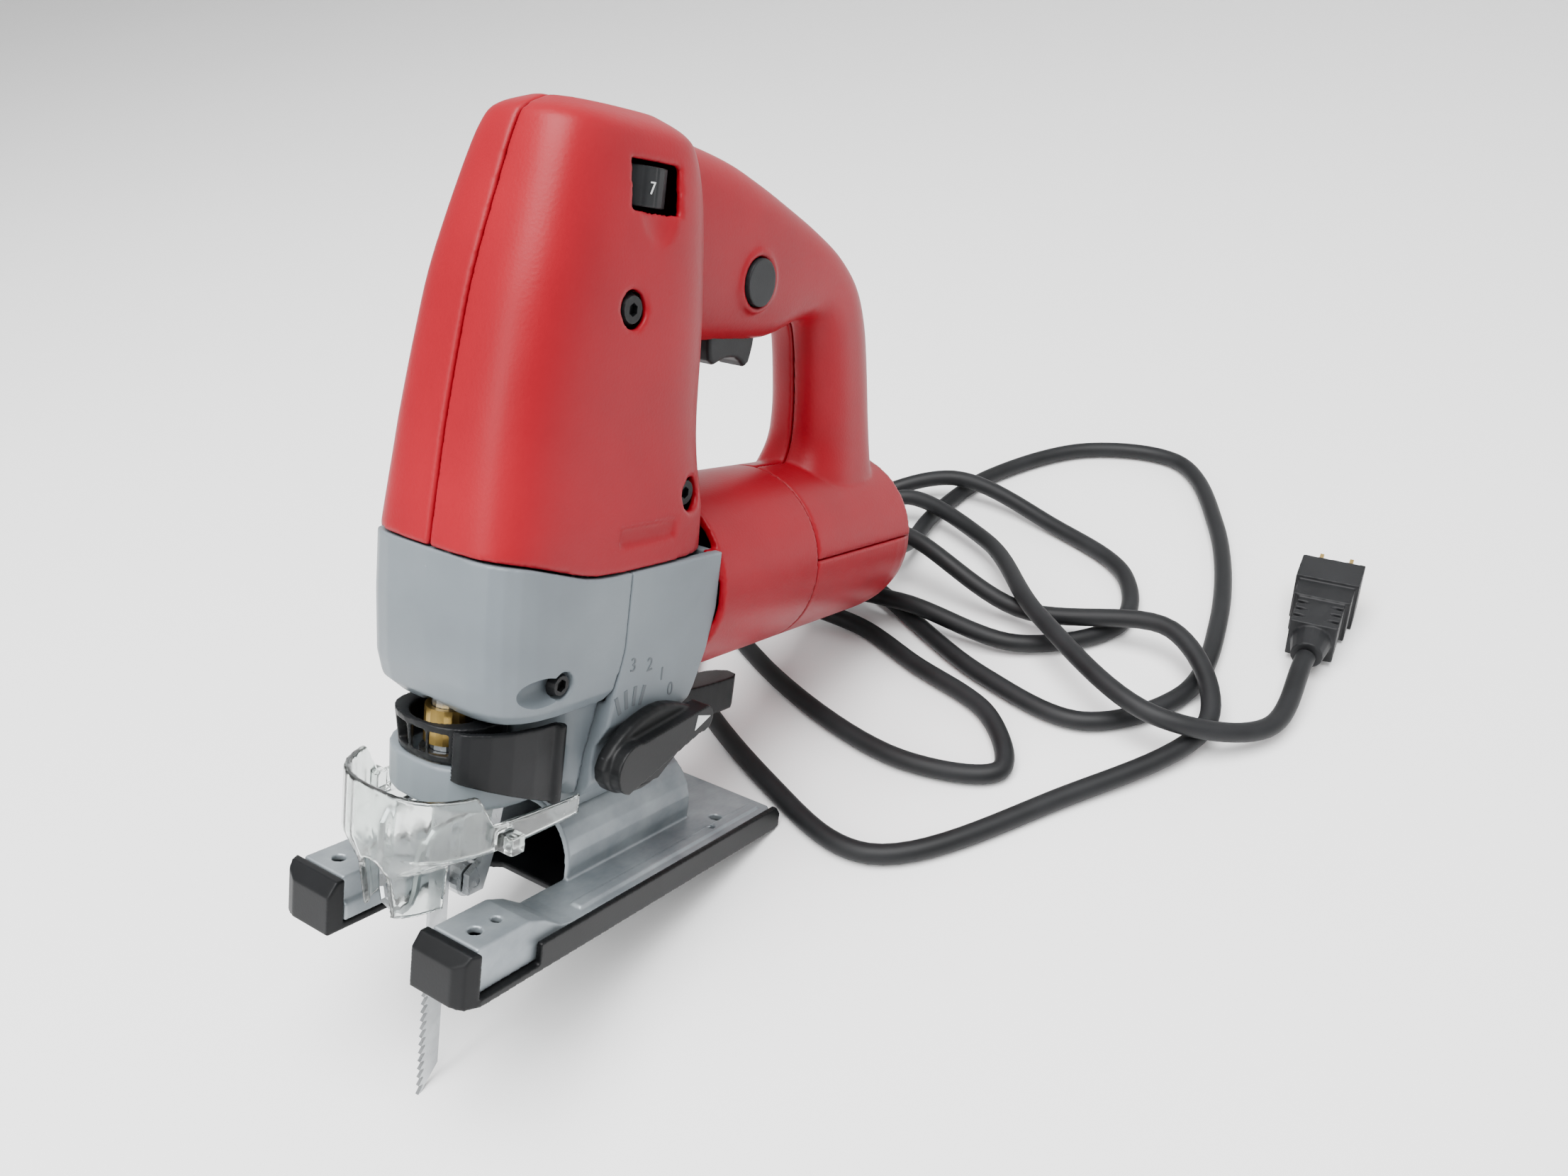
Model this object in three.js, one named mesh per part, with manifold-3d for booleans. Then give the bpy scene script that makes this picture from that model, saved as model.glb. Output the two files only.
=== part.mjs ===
// D-handle jigsaw, standing on its blade tip and the heel of its shoe, with its cord laid on the table.
// Millimetres, +Z up. The tool is modelled in its own frame (x forward, y left, z up from the sole,
// blade on x = 0) inside the group "tool", which is pitched nose-up onto the table.
import * as THREE from "three";
import { mergeVertices } from "three/addons/utils/BufferGeometryUtils.js";
import Module from "manifold-3d";

const wasm = await Module();
wasm.setup();

// ---- driving dimensions ----
const BLADE_REACH = 60.1; // blade tip below the sole
const TIP_X = 3.5; // toothed edge of the blade
const HEEL_X = -137.3; // rear edge of the sole
const TOE_X = 26.3; // front of the shoe's bumpers
const SHOE_HALF = 40; // half the width of the sole
const FORK_HALF = 17.7; // half the slot between the shoe's arms
const PIVOT_Z = 13; // bevel axis above the sole
const SADDLE_R = 20; // outer radius of the half-round saddle
const MOTOR_Z = 98.7; // motor axis above the sole
const MOTOR_R = 34.5; // outer radius of motor housing and rear cover
const SEAM_X = -150; // motor housing meets rear cover
const CAP_X = -238; // rear end of the rear cover
const CASE_REAR = -88; // gear case meets motor housing
const CASE_SPLIT = -41; // gear case meets its front
const CASE_TOP = 119; // grey casting meets the red head
const CASE_HALF = 31.5; // half the width of the casting
const GEAR_MODULE = 1.2;
const GEAR_TEETH = 30;
const PINION_TEETH = 6;
const GEAR_Z = MOTOR_Z + (GEAR_MODULE * (GEAR_TEETH + PINION_TEETH)) / 2; // drive gear axis
const CRANK_R = 13; // half the 26 mm stroke
const SHELL = 2.6; // wall of the red handle halves
const GAP = 0.3; // clearance between touching pieces
const CORD_R = 4; // cord radius
const PITCH = Math.atan2(BLADE_REACH, TIP_X - HEEL_X);
const ORIGIN_X = 119.57; // brings the middle of the tool over the origin
const ORIGIN_Z = -HEEL_X * Math.sin(PITCH);

// ---- materials ----
const paint = (color, roughness, metalness = 0) =>
  new THREE.MeshStandardMaterial({ color, roughness, metalness });
const RED = paint(0xc9262b, 0.5);
const GREY = paint(0x979ea3, 0.45, 0.3);
const BLACK = paint(0x1d1d1f, 0.5);
const DARK = paint(0x3b3e40, 0.55);
const STEEL = paint(0xb9bcbf, 0.3, 0.9);
const ZINC = paint(0x8f979c, 0.5, 0.4);
const CLEAR = paint(0xdfe6e4, 0.1);
const RUBBER = paint(0x232426, 0.7);
const BRASS = paint(0xb59a55, 0.3, 0.9);

// ---- solids ----
function solid(geometry, matrix) {
  const g = geometry.clone();
  if (matrix) g.applyMatrix4(matrix);
  g.deleteAttribute("normal");
  g.deleteAttribute("uv");
  const m = mergeVertices(g, 1e-4);
  return new wasm.Manifold(
    new wasm.Mesh({
      numProp: 3,
      vertProperties: new Float32Array(m.attributes.position.array),
      triVerts: new Uint32Array(m.index.array),
    }),
  );
}
function toGeometry(manifold) {
  const mesh = manifold.getMesh();
  const g = new THREE.BufferGeometry();
  g.setAttribute("position", new THREE.BufferAttribute(new Float32Array(mesh.vertProperties), 3));
  g.setIndex(new THREE.BufferAttribute(new Uint32Array(mesh.triVerts), 1));
  const flat = g.toNonIndexed();
  flat.computeVertexNormals();
  return flat;
}
const move = (x, y, z) => new THREE.Matrix4().makeTranslation(x, y, z);
const turn = (axis, angle) =>
  new THREE.Matrix4().makeRotationAxis(new THREE.Vector3(...axis), angle);

// A box between two corners.
function box(x0, x1, y0, y1, z0, z1) {
  const g = new THREE.BoxGeometry(x1 - x0, y1 - y0, z1 - z0);
  return solid(g, move((x0 + x1) / 2, (y0 + y1) / 2, (z0 + z1) / 2));
}
// A cylinder or cone along an axis: from point p, length l.
function rod(axis, p, l, r0, r1 = r0, n = 24) {
  const g = new THREE.CylinderGeometry(r1, r0, l, n);
  const m = new THREE.Matrix4().makeRotationFromQuaternion(
    new THREE.Quaternion().setFromUnitVectors(
      new THREE.Vector3(0, 1, 0), new THREE.Vector3(...axis)),
  );
  const c = new THREE.Vector3(...axis).multiplyScalar(l / 2).add(new THREE.Vector3(...p));
  return solid(g, move(c.x, c.y, c.z).multiply(m));
}
const ringAlong = (axis, p, l, r, hole, n = 32) =>
  rod(axis, p, l, r, r, n).subtract(
    rod(axis, new THREE.Vector3(...axis).multiplyScalar(-1).add(new THREE.Vector3(...p)).toArray(),
      l + 2, hole, hole, n));
// A prism of a plan outline [[x, y], ...] between two heights.
function slab(points, z0, z1) {
  const g = new THREE.ExtrudeGeometry(outline(points), { depth: z1 - z0, bevelEnabled: false });
  return solid(g, move(0, 0, z0));
}
// A prism of a side outline [[x, z], ...] between two y values, with optional rounded sides.
function side(points, y0, y1, round = 0, offset = 0, holes = []) {
  const shape = outline(points);
  for (const h of holes) shape.holes.push(outline(h));
  const g = new THREE.ExtrudeGeometry(shape, {
    depth: y1 - y0 - 2 * round,
    bevelEnabled: round > 0,
    bevelThickness: round,
    bevelSize: round,
    bevelOffset: -round - offset,
    bevelSegments: 2,
  });
  const m = turn([1, 0, 0], Math.PI / 2);
  return solid(g, move(0, y1 - round, 0).multiply(m));
}
// A prism of a front outline [[y, z], ...] between two x values.
function front(points, x0, x1) {
  const g = new THREE.ExtrudeGeometry(outline(points), { depth: x1 - x0, bevelEnabled: false });
  const m = new THREE.Matrix4().makeBasis(
    new THREE.Vector3(0, 1, 0), new THREE.Vector3(0, 0, 1), new THREE.Vector3(1, 0, 0));
  return solid(g, move(x0, 0, 0).multiply(m));
}
function outline(points) {
  const s = new THREE.Shape();
  points.forEach(([u, v], i) => (i ? s.lineTo(u, v) : s.moveTo(u, v)));
  s.closePath();
  return s;
}
// A smooth closed outline through a few points.
function smooth(points, n = 48) {
  const c = new THREE.CatmullRomCurve3(
    points.map(([u, v]) => new THREE.Vector3(u, v, 0)), true, "centripetal");
  return c.getSpacedPoints(n).slice(0, n).map((p) => [p.x, p.y]);
}
// A closed skin through rings of points that run counter-clockwise about the way they are stacked.
function loft(rings) {
  const m = rings.length - 1, n = rings[0].length;
  const g = new THREE.CylinderGeometry(1, 1, 1, n, m);
  const p = g.attributes.position;
  for (let i = 0; i < p.count; i++) {
    const ring = rings[Math.round((p.getY(i) + 0.5) * m)];
    const turnPart = Math.atan2(p.getX(i), p.getZ(i)) / (2 * Math.PI);
    const k = (Math.round(turnPart * n) + n) % n;
    const at = Math.hypot(p.getX(i), p.getZ(i)) < 0.5
      ? ring.reduce((s, q) => s.map((v, j) => v + q[j] / n), [0, 0, 0])
      : ring[k];
    p.setXYZ(i, ...at);
  }
  return solid(g);
}
// A level ring: x from xr to xf, half width h, squareness e.
function level(z, xr, xf, h, e = 2.6, n = 40) {
  const pts = [];
  for (let i = 0; i < n; i++) {
    const t = (2 * Math.PI * i) / n;
    const c = Math.cos(t), s = Math.sin(t);
    const x = (xr + xf) / 2 + ((xf - xr) / 2) * Math.sign(c) * Math.abs(c) ** (2 / e);
    const y = h * Math.sign(s) * Math.abs(s) ** (2 / e);
    pts.push([x, y, typeof z === "function" ? z(x, y) : z]);
  }
  return pts;
}
// A gear outline with straight-sided teeth: [[u, v], ...] about the origin.
function gearOutline(teeth, module, phase = 0, root = 0.3, crest = 0.1) {
  const r = (teeth * module) / 2, pts = [];
  for (let i = 0; i < teeth; i++)
    for (const [f, d] of [[-root, -1.15], [-crest, 0.85], [crest, 0.85], [root, -1.15]]) {
      const a = ((i + f) / teeth) * 2 * Math.PI + phase;
      pts.push([(r + d * module) * Math.cos(a), (r + d * module) * Math.sin(a)]);
    }
  return pts;
}

const tool = new THREE.Group();
tool.rotation.y = -PITCH;
tool.position.set(ORIGIN_X, 0, ORIGIN_Z);
const object = new THREE.Group();
object.add(tool);
function piece(name, manifold, material, parent = tool) {
  const mesh = new THREE.Mesh(toGeometry(manifold), material);
  mesh.name = name;
  parent.add(mesh);
  return mesh;
}

// ---- shoe: black sole, formed steel plate with half-round saddle ----
const forkOutline = (x0, x1, w, g, notch, c) => [
  [x0, -w + 2], [x0 + 2, -w], [x1 - c, -w], [x1 - 0.25 * c, -w + 0.35 * c], [x1, -w + c],
  [x1, -g], [notch, -g], [notch - 6, -g + 7], [notch - 6, g - 7], [notch, g],
  [x1, g], [x1, w - c], [x1 - 0.25 * c, w - 0.35 * c], [x1 - c, w], [x0 + 2, w], [x0, w - 2],
];
function sole() {
  let s = slab(forkOutline(HEEL_X, TOE_X, SHOE_HALF, FORK_HALF, -34, 6), 0, 2.4);
  for (const m of [-1, 1]) {
    const y = [m * (SHOE_HALF - 2.2), m * SHOE_HALF].sort((a, b) => a - b);
    s = s.add(side([[HEEL_X, 0.5], [-4, 0.5], [-4, 9.4], [HEEL_X + 3, 9.4], [HEEL_X, 6]], y[0], y[1]));
    const b = [m * FORK_HALF, m * SHOE_HALF].sort((a, c) => a - c);
    const bumper = side([[20.3, 1], [TOE_X, 1], [TOE_X, 13], [TOE_X - 3, 17], [20.3, 17]], b[0], b[1]);
    s = s.add(bumper.intersect(slab(forkOutline(HEEL_X, TOE_X, SHOE_HALF, FORK_HALF, -34, 6), 0, 30)));
  }
  return s.add(box(HEEL_X, HEEL_X + 2, -12, 12, 1, 5.5));
}
piece("shoe_sole", sole(), BLACK);

function shoePlate() {
  const inner = SHOE_HALF - 2.5, g = FORK_HALF + 0.0;
  let s = slab(forkOutline(HEEL_X + 2.4, 20, inner, g, -34, 2), 2.7, 8.4);
  // hollow under the formed plate
  for (const m of [-1, 1]) {
    const y = [m * 21, m * 34.5].sort((a, b) => a - b);
    s = s.subtract(box(-130, 16, y[0], y[1], 2, 5.6));
    const rib = [m * 30, m * 34].sort((a, b) => a - b);
    s = s.add(side([[-130, 8], [-28, 8], [-28, 9.4], [-130, 9.4]], rib[0], rib[1]));
    const pad = [m * 19.2, m * 37.2].sort((a, b) => a - b);
    let p = side([[-24, 8], [19.9, 8], [19.9, 17.2], [-1, 17.2], [-8, 14.5], [-16, 9.6]], pad[0], pad[1]);
    const under = [m * 21.5, m * 35].sort((a, b) => a - b);
    p = p.subtract(side([[-8, 5], [16.5, 5], [16.5, 14.8], [-1, 14.8], [-6, 12]], under[0], under[1]));
    s = s.add(p);
    s = s.subtract(box(-7, 16.5, under[0], under[1], 5, 9));
    for (const [x, r] of [[13.3, 2.2], [4.8, 1.7]])
      s = s.subtract(rod([0, 0, 1], [x, m * 29.3, 10], 12, r, r, 16));
  }
  // half-round saddle and its open underside
  s = s.subtract(box(-104, -33, -17.6, 17.6, 2, 9));
  const half = rod([1, 0, 0], [-104, 0, PIVOT_Z], 66, SADDLE_R, SADDLE_R, 28)
    .intersect(box(-105, 0, -21, 21, 8.2, 40));
  const core = rod([1, 0, 0], [-110, 0, PIVOT_Z], 80, SADDLE_R - 2.4, SADDLE_R - 2.4, 28)
    .intersect(box(-110, 0, -21, 21, 12.9, 40))
    .add(box(-110, 0, -17.6, 17.6, 5, 13));
  s = s.add(half.subtract(core.intersect(box(-102, 0, -19, 19, 0, 40))));
  s = s.subtract(box(-60, -44, -2.6, 2.6, 28, 40)); // slot for the clamp bolt
  for (const [x, y, r] of [[-112, 27, 2.4], [-103, 31, 1.6], [-112, -27, 2.4]])
    s = s.subtract(rod([0, 0, 1], [x, y, 4], 8, r, r, 16));
  return s;
}
piece("shoe_plate", shoePlate(), ZINC);

// ---- gear case: rear body with the foot that sits on the saddle, and the rounded front ----
const caseSide = [
  [CASE_SPLIT - GAP, CASE_TOP - 2.9], [CASE_REAR, CASE_TOP - 2.9], [-88.3, 96], [-85, 82], [-80, 70],
  [-74, 60.5], [-76, 50], [-84, 44], [-84, 29], [-38.6, 29], [-34, 41], [-34, 55],
  [-37.5, 76], [CASE_SPLIT - GAP, 92],
];
function wedge(x0, x1, top) {
  // below the case the flanks close in at 45 degrees so that the shoe can tilt
  const h = CASE_HALF;
  return front([[-h, top], [-h, 67], [-28, 60], [-28, 47], [-25, 42.5], [-12, 29], [-12, 20],
    [12, 20], [12, 29], [25, 42.5], [28, 47], [28, 60], [h, 67], [h, top]], x0, x1);
}
function gearCase() {
  let s = side(caseSide, -CASE_HALF, CASE_HALF).intersect(wedge(-95, -30, 130));
  s = s.subtract(rod([1, 0, 0], [-110, 0, PIVOT_Z], 90, SADDLE_R + GAP, SADDLE_R + GAP, 28));
  // room for the gear, shaft and fan
  s = s.subtract(box(-84, -30, -28, 28, 74, 130));
  s = s.subtract(rod([1, 0, 0], [-95, 0, MOTOR_Z], 20, 11.3, 11.3, 22));
  s = s.subtract(box(-58, -46, -4, 4, 31, 40)); // clamp nut pocket
  // seat of the rear gear-shaft end
  const seat = rod([1, 0, 0], [-83.4, 0, GEAR_Z], 17.5, 9, 8, 16).add(box(-83.4, -80.6, -10, 10, 112.5, 128)).add(box(-84.5, -80.6, -10, 10, 111, 116));
  s = s.add(seat.subtract(rod([1, 0, 0], [-74.3, 0, GEAR_Z], 40, 4.3, 4.3, 16)));
  s = s.subtract(rod([0, 1, 0], [-47, 20, 57], 20, 4.3, 4.3, 14)); // orbit lever bore
  return s;
}
piece("gear_case", gearCase(), GREY);

function bucketRing(z, xf, h) {
  return level(z, -75, xf, h, 4.4, 28);
}
function gearFront() {
  const cutTop = slab(level(0, -90, 40, 45).map((p) => [p[0], p[1]]), 0, CASE_TOP - 0.0);
  let s = loft([bucketRing(73.5, -1, 24), bucketRing(75, 4, 28), bucketRing(79, 8.4, 30.8),
    bucketRing(86, 10.2, CASE_HALF), bucketRing(105, 11.6, CASE_HALF), bucketRing(126, 12, CASE_HALF)]);
  // top edge dips from the nose to the sides
  s = s.intersect(side([[20, 124], [12, 124], [4, 123.2], [0, 122.6], [-8, 120.6],
    [-12, 119.5], [-20, 117.4], [-26, 116.5], [-32, 116.1], [-45, 116.1], [-45, 60],
    [20, 60]], -40, 40)).intersect(cutTop.add(box(-60, 20, -40, 40, 60, 130)));
  // shank behind the clamp and the ring round the nose
  s = s.add(loft([level(43, -60, -24, 24, 3), level(50, -60, -22, 25, 3), level(76, -60, -20, 26.5, 3)]));
  let ring = loft([level(46, -50, 9.5, 21, 2.6, 28), level(48, -50, 12.5, 23, 2.6, 28),
    level(60.5, -50, 12.8, 23.4, 2.6, 28)]);
  ring = ring.subtract(loft([level(40, -60, 9.6, 18.6, 2.6, 20), level(64, -60, 9.6, 18.6, 2.6, 20)])
    .intersect(box(-21.5, 20, -30, 30, 38, 70)));
  s = s.add(ring);
  s = s.intersect(side([[30, 140], [CASE_SPLIT, 140], [CASE_SPLIT, 92], [-37.2, 76], [-33.7, 55],
    [-33.7, 41], [-33.7, 30], [30, 30]], -50, 50));
  // gear and plunger room, two bushing seats in a boss under it
  s = s.subtract(loft([level(98, -60, 7.5, 27.5, 3.6, 20), level(130, -60, 8.8, 28, 3.6, 20)]));
  s = s.subtract(loft([level(79, -60, 5, 27, 2.6, 20), level(99, -60, 7.5, 27.5, 2.6, 20)])
    .subtract(box(-12, 20, -30, 30, 70, 98)));
  s = s.subtract(rod([0, 0, 1], [0, 0, 55], 60, 7.3, 7.3, 16));
  s = s.subtract(rod([0, 1, 0], [-14, 19, 86], 12, 2.2, 2.2, 12));
  s = s.subtract(rod([0, 1, 0], [-14, 27.2, 86], 12, 4.4, 4.4, 14)); // screw recess
  return s.decompose().sort((a, b) => b.volume() - a.volume())[0];
}
piece("gear_case_front", gearFront(), GREY);

// ---- red handle halves ----
// Stations of grip and rear post: outer point, inner point, half width.
const HANDLE = [
  [[-50, 246], [-70, 181.5], 17], [[-95, 241], [-96, 181.5], 17], [[-118, 236], [-112, 181.5], 17],
  [[-140, 229.5], [-132, 182.5], 17], [[-158, 223.5], [-145, 187], 16.8], [[-176, 216], [-154, 190], 16.5],
  [[-192, 205], [-160.5, 189], 16.3], [[-203, 190], [-165.5, 182.5], 16.2], [[-211, 172], [-170, 168], 16.2],
  [[-218, 152], [-173.5, 152], 16.6], [[-222, 138], [-173.5, 138], 18], [[-224.5, 122], [-166, 122], 22],
  [[-225.5, 110], [-160, 110], 26],
];
function handleLoft(inset, n = inset ? 18 : 24) {
  return loft(HANDLE.map(([o, i, h]) => {
    const c = [(o[0] + i[0]) / 2, (o[1] + i[1]) / 2];
    const len = Math.hypot(o[0] - i[0], o[1] - i[1]);
    const u = [(o[0] - i[0]) / len, (o[1] - i[1]) / len], a = len / 2 - inset, b = h - inset;
    return Array.from({ length: n }, (_, k) => {
      const t = (2 * Math.PI * k) / n, cs = Math.cos(t), sn = Math.sin(t);
      const p = a * Math.sign(cs) * Math.abs(cs) ** (2 / 2.7);
      const q = b * Math.sign(sn) * Math.abs(sn) ** (2 / 2.7);
      return [c[0] + u[0] * p, q, c[1] + u[1] * p];
    });
  }));
}
function headRings(grow, low) {
  const n = grow < 0 ? 20 : 30;
  const r = (z, xr, xf, h, e) => level(z, xr - grow, xf + grow, h + grow, e, n);
  const foot = (x, y) => low + THREE.MathUtils.smoothstep(x, -32, 11) * 7.9;
  return [r(foot, CASE_REAR, 11.8, 31, 4.4), r(132, -87.4, 11.2, 30.6, 4.3), r(146, -83.5, 9.8, 29.6, 4.2),
    r(160, -81.5, 8.3, 28.8, 4.1), r(182, -81, 5, 27.6, 4), r(200, -80, 1.6, 26.4, 3.9),
    r(224, -78, -5.4, 24, 3.7), r(238, -75, -10, 21.5, 3.5),
    ...(grow < 0 ? [r(242.8, -69, -14.5, 17.5, 3.2)] : [r(243.5, -71, -13.5, 18.5, 3.2), r(247.4, -62, -22, 11, 2.8)])];
}
function redBody(inset) {
  // inset 0 gives the outside, SHELL gives the room inside
  return handleLoft(inset).add(loft(headRings(-inset, inset ? 100 : 116.7)));
}
const baseDrum = (r, x0, x1) => rod([1, 0, 0], [x0, 0, MOTOR_Z], x1 - x0, r, r, 36);
function handleHalves() {
  const base = baseDrum(MOTOR_R, -227.7, SEAM_X - 0.9)
    .intersect(box(-240, -140, -40, 40, 104, 150));
  let outside = redBody(0);
  outside = outside.subtract(box(-149, -88.4, -40, 40, 90, 134.2));
  outside = outside.subtract(baseDrum(MOTOR_R + GAP, SEAM_X - 1, -80).intersect(box(-152, CASE_REAR - 0.3, -40, 40, 60, 140)));
  outside = outside.subtract(box(-240, SEAM_X - 0.9, -40, 40, 80, 104));
  outside = outside.add(base);
  outside = outside.intersect(box(-227.7, 20, -40, 40, 104, 260));
  let room = redBody(SHELL).subtract(box(-240, -86.2, -40, 40, 100, 138));
  room = room.add(baseDrum(MOTOR_R - 3.2, -224, SEAM_X + 4).intersect(box(-240, -140, -40, 40, 90, 150)));
  room = room.add(loft([level(120, -215, -180, 8, 2.5, 16), level(145, -214, -183, 8, 2.5, 16)]));
  let s = outside.subtract(room);
  // wall between head and grip stays open; ribs carry the screws
  const boss = (x, z) => rod([0, 1, 0], [x, -26, z], 52, 4.6, 4.6, 14).intersect(outside);
  s = s.add(boss(-35.3, 193.4)).add(boss(-70.2, 136.9));
  // trigger slot, dial window, lock button collar
  s = s.subtract(box(-131, -102.2, -6.4, 6.4, 170, 192));
  s = s.subtract(box(-56, -33.6, 10, 40, 220.3, 234));
  s = s.add(ringAlong([0, 1, 0], [-112, 14.2, 203], 4.3, 10.4, 8.4, 22).intersect(box(-130, -90, 14, 30, 190, 220)));
  s = s.subtract(rod([0, 1, 0], [-112, 8, 203], 20, 8.4, 8.4, 22));
  // screw holes from the left
  for (const [x, z] of [[-35.3, 193.4], [-70.2, 136.9]]) {
    s = s.subtract(rod([0, 1, 0], [x, -14, z], 60, 2.3, 2.3, 16));
    s = s.subtract(rod([0, 1, 0], [x, 23.4, z], 20, 5.6, 5.6, 16));
  }
  // shallow recessed rectangle low on the left
  s = s.subtract(box(-61.8, -34, 28.9, 40, 124.6, 130.6));
  const keep = (m) => m.decompose().sort((a, b) => b.volume() - a.volume())[0];
  return [keep(s.intersect(box(-300, 50, 0.15, 60, 90, 270))), keep(s.intersect(box(-300, 50, -60, -0.15, 90, 270)))];
}
const [leftHalf, rightHalf] = handleHalves();
piece("handle_left", leftHalf, RED);
piece("handle_right", rightHalf, RED);

// ---- motor housing and rear cover ----
function motorHousing() {
  const outer = baseDrum(MOTOR_R, SEAM_X, -66);
  let s = outer.subtract(baseDrum(MOTOR_R - 3, SEAM_X - 1, CASE_REAR + 1 - 4));
  s = s.subtract(box(CASE_REAR + 0, -50, -40, 40, CASE_TOP - 3, 140));
  s = s.subtract(side([[-40, 140], [CASE_REAR - 0.3, 140], [-88.6, 96], [-85.3, 82], [-80.3, 70], [-74.3, 60.4],
    [-76.3, 49.8], [-84.3, 43.8], [-84.3, 20], [-40, 20]].reverse(), -40, 40));
  s = s.subtract(baseDrum(MOTOR_R - 3, -120, -60));
  s = s.add(ringAlong([1, 0, 0], [-94.5, 0, MOTOR_Z], 3, MOTOR_R - 2, 28.2, 34)
    .translate([0, 0, 0]));
  return s.decompose().sort((a, b) => b.volume() - a.volume())[0];
}
piece("motor_housing", motorHousing(), RED);

function rearCover() {
  const r = MOTOR_R, x0 = SEAM_X - 0.6;
  const profile = [[0, CAP_X], [17, CAP_X], [24, CAP_X + 1.2], [29.5, CAP_X + 4], [32.8, CAP_X + 8.5],
    [34, CAP_X + 14], [r, CAP_X + 22], [r, x0], [r - 3, x0], [r - 3, CAP_X + 20], [30, CAP_X + 10],
    [24, CAP_X + 4.6], [0, CAP_X + 3.4]];
  const g = new THREE.LatheGeometry(profile.map(([a, b]) => new THREE.Vector2(a, b)), 36);
  const m = move(0, 0, MOTOR_Z).multiply(turn([0, 0, 1], -Math.PI / 2));
  let s = solid(g, m);
  if (s.volume() < 0) throw new Error("rear cover inside out");
  s = s.subtract(box(-228, -140, -40, 40, 103.7, 140));
  s = s.subtract(rod([1, 0, 0], [CAP_X - 5, 0, 82], 20, 7.3, 7.3, 16)); // cord gland hole
  for (let i = 0; i < 4; i++) // cooling slots, right side
    s = s.subtract(box(-214 + i * 9, -210 + i * 9, -40, -24, 84, 100));
  return s;
}
piece("rear_cover", rearCover(), RED);

// ---- motor, gear train and plunger ----
function armature() {
  let s = rod([1, 0, 0], [-224, 0, MOTOR_Z], 224 - 46, 4, 4, 14);
  s = s.add(rod([1, 0, 0], [-150, 0, MOTOR_Z], 48, 17, 17, 22));
  s = s.add(rod([1, 0, 0], [-161, 0, MOTOR_Z], 12, 13, 15, 16));
  s = s.add(rod([1, 0, 0], [-103, 0, MOTOR_Z], 9.5, 15, 12, 16));
  s = s.add(rod([1, 0, 0], [-186, 0, MOTOR_Z], 18, 11, 11, 16));
  const teeth = gearOutline(PINION_TEETH, GEAR_MODULE, Math.PI / 2, 0.2, 0.06);
  return s.subtract(rod([1, 0, 0], [-64, 0, MOTOR_Z], 30, 9, 9, 16)).add(front(
    teeth.map(([u, v]) => [u, v + MOTOR_Z]), -64.2, -49));
}
piece("armature", armature(), STEEL);
function fan() {
  let s = ringAlong([1, 0, 0], [-92.6, 0, MOTOR_Z], 1.6, 26, 4.3, 20);
  s = s.add(ringAlong([1, 0, 0], [-92.6, 0, MOTOR_Z], 4.2, 8, 4.3, 16));
  for (let i = 0; i < 8; i++) {
    const b = box(-91.2, -88.9, 10, 25.5, -0.7, 0.7);
    s = s.add(solid(toGeometry(b), move(0, 0, MOTOR_Z).multiply(turn([1, 0, 0], (i * Math.PI) / 4))));
  }
  return s;
}
piece("cooling_fan", fan(), BLACK);
piece("field_core", ringAlong([1, 0, 0], [-150, 0, MOTOR_Z], 48, 31.2, 18.2, 34)
  .subtract(box(-152, -100, -6, 6, 60, 140).subtract(baseDrum(24, -152, -100))), STEEL);
for (const [name, m] of [["brush_holder_left", 1], ["brush_holder_right", -1]]) {
  const y = [m * 11.6, m * 27.5].sort((a, b) => a - b);
  piece(name, box(-183, -171, y[0], y[1], MOTOR_Z - 12, MOTOR_Z - 2).add(
    box(-183, -171, m > 0 ? 11.4 : -20, m > 0 ? 20 : -11.4, MOTOR_Z - 5, MOTOR_Z + 3)), BRASS);
}
piece("bearing_front", ringAlong([1, 0, 0], [-88, 0, MOTOR_Z], 3.6, 11, 4.3, 22), STEEL);
piece("bearing_rear", ringAlong([1, 0, 0], [-222, 0, MOTOR_Z], 7, 10, 4.3, 22), STEEL);
function gear() {
  const pts = gearOutline(GEAR_TEETH, GEAR_MODULE, -Math.PI / 2 + Math.PI / GEAR_TEETH);
  let s = front(pts.map(([u, v]) => [u, v + GEAR_Z]), -62, -53);
  s = s.add(rod([1, 0, 0], [-53.5, 0, GEAR_Z], 14, 8, 8, 16));
  s = s.subtract(rod([1, 0, 0], [-70, 0, GEAR_Z], 60, 4.3, 4.3, 16));
  s = s.add(ringAlong([1, 0, 0], [-40, 0, GEAR_Z], 10, 18, 4.3, 28)); // crank disc
  s = s.add(rod([1, 0, 0], [-30.5, 0, GEAR_Z + CRANK_R], 21.5, 3.5, 3.5, 14)); // crank pin
  return s;
}
piece("crank_gear", gear(), STEEL);
piece("gear_axle", rod([1, 0, 0], [-74, 0, GEAR_Z], 43, 4, 4, 16), STEEL);

// plunger at the top of its stroke, its yoke just ahead of the crank pin
const YOKE_Z = GEAR_Z + CRANK_R;
function plunger() {
  let s = rod([0, 0, 1], [0, 0, 56], YOKE_Z - 49.5, 5, 5, 16);
  s = s.add(box(-8.2, 0, -17.5, 17.5, YOKE_Z - 6.5, YOKE_Z + 6.5));
  s = s.subtract(box(-9, -5.2, -16, 16, YOKE_Z - 4.2, YOKE_Z + 4.2));
  return s;
}
piece("plunger", plunger(), STEEL);
function chuck() {
  let s = rod([0, 0, 1], [0, 0, 47], 14, 8, 8, 16);
  s = s.subtract(rod([0, 0, 1], [0, 0, 55.7], 8, 5.3, 5.3, 16));
  return s.subtract(box(-5, 5, -1.1, 1.1, 40, 54));
}
piece("blade_chuck", chuck(), BLACK);
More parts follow.
